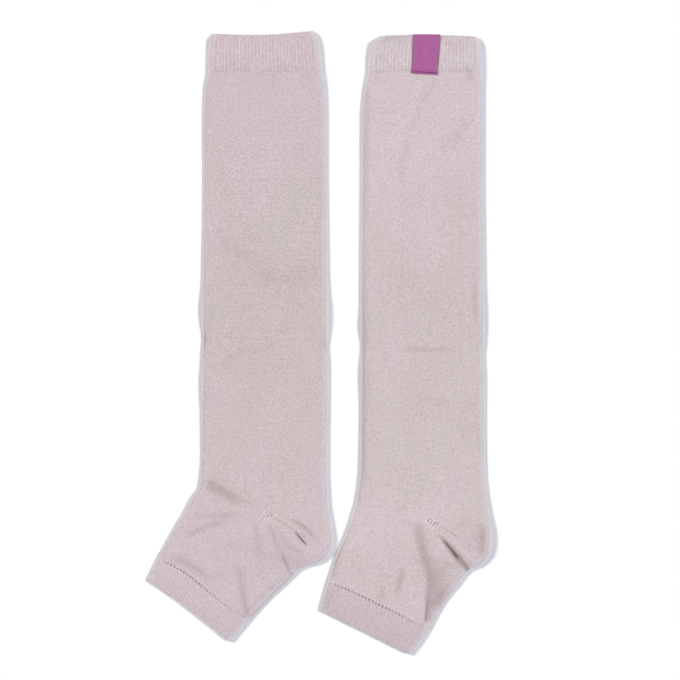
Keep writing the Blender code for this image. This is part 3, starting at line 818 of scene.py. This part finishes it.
class Graph:
    """One material's nodes, added with short calls. A value is a number or another node's output."""

    def __init__(self, name, finish):
        self.material = bpy.data.materials.new(name)
        self.material.use_nodes = True
        self.tree = self.material.node_tree
        self.shader = self.tree.nodes["Principled BSDF"]
        for setting, value in finish.items():
            self.shader.inputs[setting].default_value = value

    def node(self, kind, values, **settings):
        """A new node with these settings and with these values in its inputs."""
        made = self.tree.nodes.new(kind)
        for name, setting in settings.items():
            setattr(made, name, setting)
        for place, value in values.items():
            if isinstance(value, bpy.types.NodeSocket):
                self.tree.links.new(value, made.inputs[place])
            else:
                made.inputs[place].default_value = value
        return made

    def math(self, operation, first, second=0.0):
        return self.node("ShaderNodeMath", {0: first, 1: second}, operation=operation).outputs[0]

    def noise(self, vector, grain, detail=2.0, roughness=0.5):
        """Soft noise from 0 to 1 that changes this often along each axis of the vector."""
        scaled = self.node("ShaderNodeVectorMath", {0: vector, 1: grain}, operation="MULTIPLY").outputs[0]
        values = {"Vector": scaled, "Scale": 1.0, "Detail": detail, "Roughness": roughness}
        return self.node("ShaderNodeTexNoise", values).outputs["Fac"]

    def spread(self, value, low, high):
        """A value from 0 to 1 turned into one from low to high."""
        return self.math("ADD", self.math("MULTIPLY", value, high - low), low)

    def mix(self, factor, first, second):
        values = {"Factor": factor, 6: first, 7: second}
        return self.node("ShaderNodeMix", values, data_type="RGBA").outputs[2]

    def toned(self, colour, value, low, high):
        """A colour times the low factor where the value is 0, and times the high one where it is 1."""
        values = {0: colour, "Scale": self.spread(value, low, high)}
        return self.node("ShaderNodeVectorMath", values, operation="SCALE").outputs[0]

    def varied(self, colour, value, amount):
        return self.toned(colour, value, 1 - amount, 1 + amount)

    def completed(self, colour, height, depth):
        """The material, with this colour and with this height as its relief, in metres for each 1 of it."""
        bump = self.node("ShaderNodeBump", {"Distance": depth, "Strength": 1.0, "Height": height})
        self.tree.links.new(colour, self.shader.inputs["Base Color"])
        self.tree.links.new(bump.outputs["Normal"], self.shader.inputs["Normal"])
        return self.material

    def millimetres(self):
        """Where a point is, as a vector."""
        place = self.node("ShaderNodeTexCoord", {}).outputs["Object"]
        values = {0: place, 1: (1 / MILLIMETRE,) * 3}
        return self.node("ShaderNodeVectorMath", values, operation="MULTIPLY").outputs[0]

    def parts(self, vector):
        return self.node("ShaderNodeSeparateXYZ", {0: vector}).outputs

    def tone(self, name):
        return self.node("ShaderNodeAttribute", {}, attribute_name=name).outputs["Fac"]

    def across_and_along(self):
        """The two parts of the place on the UV map, and that place as a vector."""
        flat = self.node("ShaderNodeUVMap", {}, uv_map=MAP).outputs["UV"]
        across, along, _ = self.parts(flat)
        return across, along, flat


def stitch_height(graph, across, along):
    """Plain knit: columns of V-shaped stitches, as a height from 0 to 1."""
    wale = graph.math("FRACT", graph.math("MULTIPLY", across, RIBS * WALES_TO_A_RIB))
    side = graph.math("ABSOLUTE", graph.math("SUBTRACT", wale, 0.5))
    course = graph.math("MULTIPLY", along, TUBE_WIDTH / COURSE)
    slanted = graph.math("FRACT", graph.math("ADD", course, side))
    yarn = graph.math("SINE", graph.math("MULTIPLY", slanted, math.pi))
    leg = graph.math("SINE", graph.math("MULTIPLY", side, 2 * math.pi))
    return graph.math("MULTIPLY", graph.math("POWER", yarn, ROUNDNESS), graph.math("POWER", leg, ROUNDNESS))


def knit_material(knit):
    """Fine cotton knit: flecked, faintly streaked along its columns, with painted shade between stitches
    and in folds, and a painted highlight at its side edges.
    """
    graph = Graph(knit.name, KNIT_FINISH)
    across, along, flat = graph.across_and_along()
    place = graph.millimetres()
    height = stitch_height(graph, across, along)
    above_knee = graph.math("SUBTRACT", graph.parts(place)[1], knit.knee_y)
    from_knee = graph.math("ABSOLUTE", graph.math("DIVIDE", above_knee, KNEE_TO_END))
    mottle = graph.spread(graph.noise(place, MOTTLE_GRAIN, 3.0), -MOTTLE, MOTTLE)
    fleck = graph.noise(place, FLECK_GRAIN, 3.0, FLECK_ROUGHNESS)
    body = graph.mix(graph.math("ADD", from_knee, mottle), knit.colour, knit.end_colour)
    body = graph.varied(body, fleck, FLECK)
    body = graph.varied(body, graph.noise(flat, STREAK_GRAIN), STREAK)
    # Painted shade between the stitches
    body = graph.toned(body, height, *STITCH_SHADE_TONES)
    # Painted highlight at the side edges
    body = graph.mix(graph.tone("edge_light"), body, EDGE_LIGHT_COLOUR)
    # Painted shade of folds, holes, seams, rib valleys and edges, warmer where it is deep enough to be a slit
    shade = graph.tone("shade")
    deep = graph.math("DIVIDE", graph.math("SUBTRACT", shade, DEEP_FROM), 1 - DEEP_FROM)
    body = graph.mix(shade, body, graph.mix(deep, CREASE_SHADE_COLOUR, SLIT_SHADE_COLOUR))
    relief = graph.math("ADD", height, graph.math("MULTIPLY", fleck, FLECK_HEIGHT))
    return graph.completed(body, relief, knit.depth)


def ribbon_material():
    """Woven ribbon: fine cross ribs, a little streaked, with darker edges."""
    graph = Graph("ribbon", RIBBON_FINISH)
    across, along, flat = graph.across_and_along()
    warp = graph.math("SINE", graph.math("MULTIPLY", across, 2 * math.pi * RIBBON_WARP))
    weft = graph.math("SINE", graph.math("MULTIPLY", along, 2 * math.pi * RIBBON_WEFT))
    weave = graph.math("MULTIPLY", warp, weft)
    body = graph.varied(RIBBON, graph.noise(flat, RIBBON_GRAIN, 3.0), RIBBON_STREAK)
    body = graph.varied(body, graph.noise(flat, PATCH_GRAIN), PATCH)
    body = graph.toned(body, weave, *WEAVE_TONES)
    body = graph.mix(graph.tone("shade"), body, RIBBON_EDGE)
    return graph.completed(body, weave, WEAVE_DEPTH)


def thread_material(name, colour):
    """Twisted yarn, a little uneven."""
    graph = Graph(name, THREAD_FINISH)
    twist = graph.noise(graph.millimetres(), TWIST_GRAIN)
    return graph.completed(graph.varied(colour, twist, TWIST), twist, TWIST_DEPTH)


def wall_plan(outside, rounded, inside, wall):
    """(station, depth) pairs along a wall's outside, round its edge and back along its inside."""
    return [(station, 0.0) for station in outside] + rounded + [(station, wall) for station in inside]


def make_leg(side, sock, material):
    start, ankle, end = (sock.places[place] for place in ("rib end", "ankle", "toe join"))
    outside = stations_between(start, ankle, LEG_ROW)[:-1]
    outside += stations_between(ankle, end - EYELET_REACH, FOOT_ROW)[:-1]
    outside += stations_between(end - EYELET_REACH, end, EYELET_ROW)
    inside = stations_between(end, ankle, INNER_ROW)[:-1] + stations_between(ankle, start, INNER_LEG_ROW)
    plan = wall_plan(outside, [], inside, LEG_WALL)
    return tube(side + "_leg_knit", sock, plan, LEG_WALL, LEG_COLUMNS, material)


def make_cuff(side, sock, material):
    seam = sock.places["rib end"]
    rounded = lip(sock.places["cuff top"], 1.0, CUFF_WALL)
    outside = stations_between(seam, rounded[0][0], BAND_ROW)[:-1]
    inside = stations_between(rounded[-1][0], seam, INNER_ROW)[1:]
    plan = wall_plan(outside, rounded, inside, CUFF_WALL)[::-1]
    return tube(side + "_cuff_knit", sock, plan, CUFF_WALL, CUFF_COLUMNS, material)


def make_toe_band(side, sock, material):
    seam = sock.places["toe join"]
    rounded = lip(sock.places["toe edge"], -1.0, TOE_WALL)
    past_eyelets = seam + EYELET_REACH
    outside = stations_between(seam, past_eyelets, EYELET_ROW)[:-1]
    outside += stations_between(past_eyelets, rounded[0][0], BAND_ROW)[:-1]
    inside = stations_between(rounded[-1][0], seam, INNER_ROW)[1:]
    plan = wall_plan(outside, rounded, inside, TOE_WALL)
    return tube(side + "_toe_knit", sock, plan, TOE_WALL, TOE_COLUMNS, material)


def label_lift(turn):
    """How far the label's underside clears the cuff: over its ribs, and close round its edge."""
    return LABEL_CLEARANCE + CUFF_RIB_HEIGHT * (1 + STITCH_SHARE) * ease(1 - turn * 2)


def label_pucker(across, down):
    """How far the label stands up in soft waves, by its shares across and down: most at its sewn end."""
    wave = 1 + np.sin(across * 2 * math.pi * PUCKER_WAVES + PUCKER_START)
    sewn = PUCKER_HEIGHT * wave * ease((down - PUCKER_FROM) / (1 - PUCKER_FROM))
    return sewn + RIPPLE_HEIGHT * (1 + np.sin(across * RIPPLES[0] + down * RIPPLES[1]))


def label_shade(down, selvedge):
    """How dark the label is across a row: at its selvedges, and in lines by its sewn end."""
    lines = [
        shade * math.exp(-(((1 - down - place) / half_width) ** 2)) for place, half_width, shade in FOOT_LINES
    ]
    return np.clip(SELVEDGE_SHADE * selvedge + sum(lines), 0, LABEL_SHADE_MOST)


def label_surface(sock, station, turn, lift):
    """Points across the label at a station of the cuff, turned round its top edge and lifted off it."""
    edge = sock.places["cuff top"]
    foot = sock.places["rib end"] + LABEL_OVERHANG
    share = (station - edge) / (foot - edge)
    middle, across, along, _ = sock.frame(station)
    left = LABEL_TOP[0] + share * (LABEL_FOOT[0] - LABEL_TOP[0])
    right = LABEL_TOP[1] + share * (LABEL_FOOT[1] - LABEL_TOP[1])
    offsets = (np.linspace(left, right, LABEL_COLUMNS + 1) - middle[0]) / across[0]
    ground = sock.on_surface(station, offsets)
    ground += np.linspace(0, share * LABEL_SKEW, LABEL_COLUMNS + 1)[:, None] * along
    lip_radius = CUFF_WALL / 2
    radius = lip_radius + lift
    height = sock.crown(station, offsets) - lip_radius + radius * math.cos(turn)
    return np.column_stack((ground - radius * math.sin(turn) * along, height))


def make_label(sock, material):
    """A ribbon on the cuff, from its sewn end up and over the cuff's top edge."""
    edge = sock.places["cuff top"]
    foot = sock.places["rib end"] + LABEL_OVERHANG
    rest = edge + CUFF_WALL / 2
    turns = np.linspace(0, math.radians(LABEL_TURN), LABEL_TURN_ROWS + 1)[1:]
    rows = [(station, 0.0) for station in np.linspace(foot, rest, LABEL_ROWS + 1)]
    rows += [(rest, turn) for turn in turns]
    across = np.linspace(0, 1, LABEL_COLUMNS + 1)
    selvedge = np.exp(-((across / SELVEDGE) ** 2)) + np.exp(-(((1 - across) / SELVEDGE) ** 2))
    rings, shades = [], []
    for station, turn in rows:
        down = (station - edge) / (foot - edge)
        lift = label_lift(turn)
        below = label_surface(sock, station, turn, lift)
        above = label_surface(sock, station, turn, lift + LABEL_THICKNESS)
        if turn == 0:
            pucker = label_pucker(across, down)
            above[:, 2] += pucker + SELVEDGE_HEIGHT * selvedge
            below[:, 2] += pucker * PUCKER_UNDER
        rings.append(np.concatenate((below, above[::-1])))
        shade = label_shade(down, selvedge)
        shades.append(np.concatenate((shade, shade[::-1])))
    steps = np.linalg.norm(np.diff([ring[-1] for ring in rings], axis=0), axis=1)
    places = np.concatenate(([0.0], np.cumsum(steps))) / LABEL_WIDTH
    return sheet_from_rings("label_ribbon", rings, shades, places, material)


def sheet_from_rings(name, rings, shades, places, material):
    """A closed sheet through rings that each run along its lower side and back along its upper one."""
    around = len(rings[0])
    half = around // 2
    shares = np.concatenate((np.linspace(0, 1, half), np.linspace(1, 0, half), (0.0,)))
    faces, corners = [], []
    for i in range(len(rings) - 1):
        here, there = i * around, (i + 1) * around
        more_faces, more_corners = faces_between(here, there, places[i], places[i + 1], shares)
        faces += more_faces
        corners += more_corners
    last = (len(rings) - 1) * around
    for j in range(half - 1):
        over = around - 1 - j
        ends = ((0, places[0], (j, j + 1, over - 1, over)), (last, places[-1], (over, over - 1, j + 1, j)))
        for start, place, numbers in ends:
            faces.append(tuple(start + n for n in numbers))
            corners.append([(shares[n], place) for n in numbers])
    piece = new_object(name, np.concatenate(rings), faces, material)
    add_map(piece, corners)
    add_tone(piece, "shade", np.concatenate(shades))
    return piece


def yarn_mesh(name, stitches, material):
    """Short rounded lengths of yarn: a centre, an angle from the x axis, a length and a radius for each."""
    turns = math.pi * (np.arange(YARN_RINGS) + 0.5) / YARN_RINGS
    angles = 2 * math.pi * np.arange(YARN_SIDES) / YARN_SIDES
    up = np.array((0.0, 0.0, 1.0))
    points, faces = [], []
    for centre, angle, length, radius in stitches:
        way = np.array((math.cos(angle), math.sin(angle), 0.0))
        side = np.array((-way[1], way[0], 0.0))
        start = len(points)
        for turn in turns:
            dip = YARN_DIP * radius * math.cos(turn) ** 2
            middle = centre - way * length / 2 * math.cos(turn) - dip * up
            size = radius * math.sin(turn) ** 0.5
            points += [middle + side * size * math.cos(a) + up * size * math.sin(a) for a in angles]
        last = len(points) - YARN_SIDES
        for here in range(start, last, YARN_SIDES):
            for j in range(YARN_SIDES):
                beside = (j + 1) % YARN_SIDES
                there = here + YARN_SIDES
                faces.append((here + j, here + beside, there + beside, there + j))
        faces.append(tuple(start + j for j in reversed(range(YARN_SIDES))))
        faces.append(tuple(last + j for j in range(YARN_SIDES)))
    return new_object(name, np.array(points), faces, material)


def make_label_stitches(sock, material):
    """A row of short dark stitches that sews the label's lower end down."""
    foot = sock.places["rib end"] + LABEL_OVERHANG
    lift = label_lift(0.0) + LABEL_THICKNESS + STITCH_RISE * STITCH_RADIUS
    row = label_surface(sock, foot - STITCH_ROW, 0.0, lift)
    row[:, 2] += label_pucker(np.linspace(0, 1, len(row)), 1.0)
    chance = np.random.RandomState(STITCH_SEED)
    slope = math.atan2(row[-1][1] - row[0][1], row[-1][0] - row[0][0])
    stitches = []
    for number in range(LABEL_STITCHES):
        centre = row[round((number + 0.5) / LABEL_STITCHES * LABEL_COLUMNS)]
        angle = slope + chance.uniform(-STITCH_TURN, STITCH_TURN)
        stitches.append((centre, angle, STITCH_LENGTH, STITCH_RADIUS))
    return yarn_mesh("label_stitches", stitches, material)


def make_loops(side, sock, material):
    """The loops of yarn between the open stitches at the start of the gore."""
    chance = np.random.RandomState(len(side))
    stitches = []
    for number, place in enumerate(sock.plan.loops):
        station = sock.station_of(place)
        middle, across, _, _ = sock.frame(station)
        centre = sock.top_at(station, (np.array(place) - middle) @ across, LEG_WALL)
        size = 1.0 if number < LARGE_LOOPS else SMALL_LOOP
        slant = math.radians(HOLE_SLANT + chance.uniform(-LOOP_TURN, LOOP_TURN))
        stitches.append((centre, slant, LOOP_LENGTH * size, LOOP_RADIUS * size))
    return yarn_mesh(side + "_gore_loops", stitches, material)


def make_knots(side, sock, material):
    """The strands of yarn between the eyelets of the toe band."""
    chance = np.random.RandomState(KNOT_SEED)
    station = sock.places["toe join"] + EYELET_INSET
    _, _, along, half_width = sock.frame(station)
    count = int((half_width - EYELET_MARGIN) / EYELET_PITCH)
    lengthwise = math.atan2(along[1], along[0])
    stitches = []
    for number in range(-count, count):
        centre = sock.top_at(station, (number + 0.5) * EYELET_PITCH, TOE_WALL)
        centre[2] += KNOT_LIFT
        size = chance.uniform(*KNOT_SIZES)
        slant = lengthwise + chance.uniform(*KNOT_TURNS)
        stitches.append((centre, slant, KNOT_LENGTH * size, KNOT_RADIUS * size))
    return yarn_mesh(side + "_eyelet_knots", stitches, material)


def declare(piece, node):
    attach(piece, "root")
    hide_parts(node)


def make_sock(plan, yarn, eyelet_yarn):
    side = plan.side
    sock = Sock(plan)
    rib, plain, toe = (knit_material(knit) for knit in plan.knits)
    cuff = make_cuff(side, sock, rib)
    leg = make_leg(side, sock, plain)
    toe_band = make_toe_band(side, sock, toe)
    declare(cuff, side + "_cuff")
    declare(leg, side + "_leg")
    declare(toe_band, side + "_toe_band")
    gore_loops = make_loops(side, sock, yarn)
    knots = make_knots(side, sock, eyelet_yarn)
    for piece, slot in ((gore_loops, "plain_knit"), (knots, "toe_knit")):
        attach(piece, "root")
    return sock


def make_floor():
    mesh = bpy.data.meshes.new("floor")
    corners = ((-FLOOR, -FLOOR), (FLOOR, -FLOOR), (FLOOR, FLOOR), (-FLOOR, FLOOR))
    mesh.from_pydata([(*corner, -FLOOR_DROP) for corner in corners], [], [(0, 1, 2, 3)])
    mesh.materials.append(Graph("white_paper", FLOOR_FINISH).material)
    floor = placed("floor", mesh)


def make_sun(lamp):
    """A far lamp that adds its share to a flat white surface, from its side of the picture."""
    light = bpy.data.lights.new(lamp.name, "SUN")
    light.energy = lamp.share * math.pi / math.sin(math.radians(lamp.elevation))
    light.color = lamp.colour
    light.angle = math.radians(lamp.softness)
    holder = placed(lamp.name, light)
    holder.rotation_euler = (0.0, math.radians(90 - lamp.elevation), math.radians(lamp.azimuth))


def make_lights():
    world = bpy.data.worlds.new("studio")
    world.use_nodes = True
    background = world.node_tree.nodes["Background"]
    background.inputs["Color"].default_value = FILL_COLOUR
    background.inputs["Strength"].default_value = FILL
    bpy.context.scene.world = world
    for lamp in LAMPS:
        make_sun(lamp)


def make_camera():
    data = bpy.data.cameras.new("camera")
    data.sensor_width = SENSOR_WIDTH
    data.lens = SENSOR_WIDTH * CAMERA_HEIGHT / PHOTO_WIDTH
    camera = placed("camera", data)
    across, along = (PHOTO_MIDDLE[i] - MIDDLE[i] for i in (0, 1))
    camera.location = (across * MILLIMETRE, along * MILLIMETRE, CAMERA_HEIGHT * MILLIMETRE)
    bpy.context.scene.camera = camera


def main():
    bpy.context.scene.view_settings.view_transform = "Standard"
    make_camera()
    make_floor()
    make_lights()
    yarn = thread_material("knit_yarn", LIT_YARN)
    eyelet_yarn = thread_material("eyelet_yarn", LIT_EYELET_YARN)
    make_sock(LEFT_SOCK, yarn, eyelet_yarn)
    sock = make_sock(RIGHT_SOCK, yarn, eyelet_yarn)
    label = make_label(sock, ribbon_material())
    stitches = make_label_stitches(sock, thread_material("thread", RIBBON_THREAD))
    declare(label, "label")
    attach(stitches, "root")


main()
